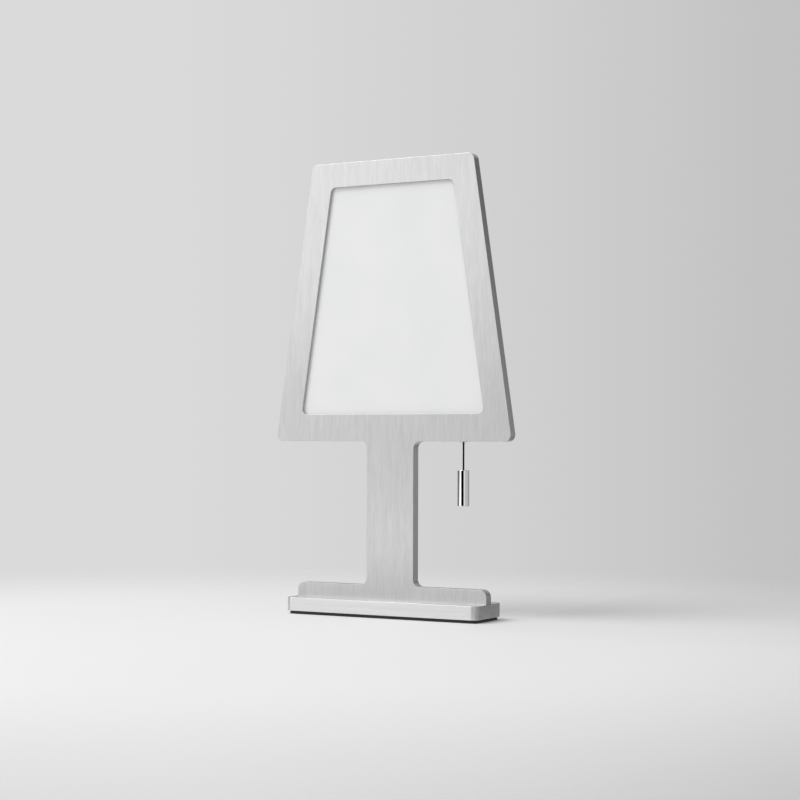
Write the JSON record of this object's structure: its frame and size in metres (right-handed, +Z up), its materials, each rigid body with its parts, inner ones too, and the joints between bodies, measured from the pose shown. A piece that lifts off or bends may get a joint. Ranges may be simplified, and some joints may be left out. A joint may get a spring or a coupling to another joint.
{
  "type": "light therapy lamp",
  "caption": "Flat aluminium table lamp silhouette with an edge-lit opal light panel, a pull-cord switch and a bar base.",
  "frame": {"origin": "on the ground under the middle of the base, in the middle of the frame plate's thickness", "axes": "+Z up, +X to the right seen from the front, front towards -Y"},
  "size_m": [0.2566, 0.054, 0.44],
  "materials": {
    "brushed_aluminium": "vertical brushed, clear anodised",
    "stainless_steel": "satin",
    "opal_acrylic": "satin opal white",
    "clear_film": "clear prismatic",
    "clear_acrylic": "polished clear",
    "white_film": "matte white",
    "black_foam": "fine closed-cell foam",
    "white_circuit_board": "white solder mask on aluminium",
    "led_phosphor": "silicone over phosphor",
    "grey_silicone": "soft matte",
    "green_circuit_board": "green solder mask",
    "ferrite": "sintered",
    "black_plastic": "moulded satin",
    "ceramic_chip": "fired",
    "white_nylon": "moulded",
    "white_acetal": "moulded, slippery",
    "nickel_plate": "bright nickel",
    "spring_steel": "drawn wire",
    "black_cord": "tight braid",
    "brass": "turned",
    "polished_chrome": "mirror polished",
    "black_rubber": "matte sheet",
    "black_wire": "silicone insulation",
    "white_wire": "silicone insulation"
  },
  "bodies": {
    "lamp": {"frame_plate": "brushed_aluminium", "rear_cover": "brushed_aluminium", "base_bar": "brushed_aluminium", "rear_cover_screws": "stainless_steel", "foot_screws": "stainless_steel", "diffuser": "opal_acrylic", "optical_film": "clear_film", "light_guide": "clear_acrylic", "reflector_sheet": "white_film", "foam_backing": "black_foam", "led_strip_right": "white_circuit_board", "led_strip_left": "white_circuit_board", "leds_right": "led_phosphor", "leds_left": "led_phosphor", "driver_pad": "grey_silicone", "driver_board": "green_circuit_board", "driver_inductor": "ferrite", "driver_chip": "black_plastic", "driver_capacitors": "ceramic_chip", "wire_connectors": "white_nylon", "switch_housing": "black_plastic", "switch_lid": "black_plastic", "return_spring": "spring_steel", "tact_switch": "black_plastic", "switch_terminals": "nickel_plate", "exit_eyelet": "nickel_plate", "rubber_pad": "black_rubber", "dc_jack": "black_plastic", "dc_jack_pin": "nickel_plate", "dc_jack_nut": "nickel_plate", "dc_jack_lugs": "nickel_plate", "power_wires": "black_wire", "left_led_wires": "white_wire", "right_led_wires": "white_wire", "switch_wires": "white_wire"},
    "slider": {"pull_slider": "white_acetal", "cord_ferrule": "nickel_plate", "cord_upper": "black_cord"},
    "plunger": {"switch_plunger": "white_acetal"},
    "cord_bead": {"cord_stop": "black_plastic"},
    "pull": {"pull_cord": "black_cord", "cord_crimp": "nickel_plate", "knob_insert": "brass", "pull_knob": "polished_chrome"}
  },
  "joints": [
    {"name": "cord_pull", "type": "slide", "parent": "lamp", "child": "slider", "axis": [0, 0, -1], "range_m": [0, 0.005], "stiffness_N_per_m": 300, "springref_m": -0.004, "deforming": ["return_spring"]},
    {"name": "plunger_press", "type": "slide", "parent": "lamp", "child": "plunger", "axis": [-1, 0, 0], "range_m": [0, 0.0005]},
    {"name": "swing_sideways", "type": "hinge", "parent": "slider", "child": "cord_bead", "pos_m": [0.0763, 0.0006, 0.166], "axis": [0, 1, 0], "range_deg": [-45, 45]},
    {"name": "swing_forwards", "type": "hinge", "parent": "cord_bead", "child": "pull", "pos_m": [0.0763, 0.0006, 0.166], "axis": [1, 0, 0], "range_deg": [-45, 45]}
  ],
  "couplings": [
    {"joint": "plunger_press", "follows": "cord_pull", "ratio": 0.1}
  ]
}
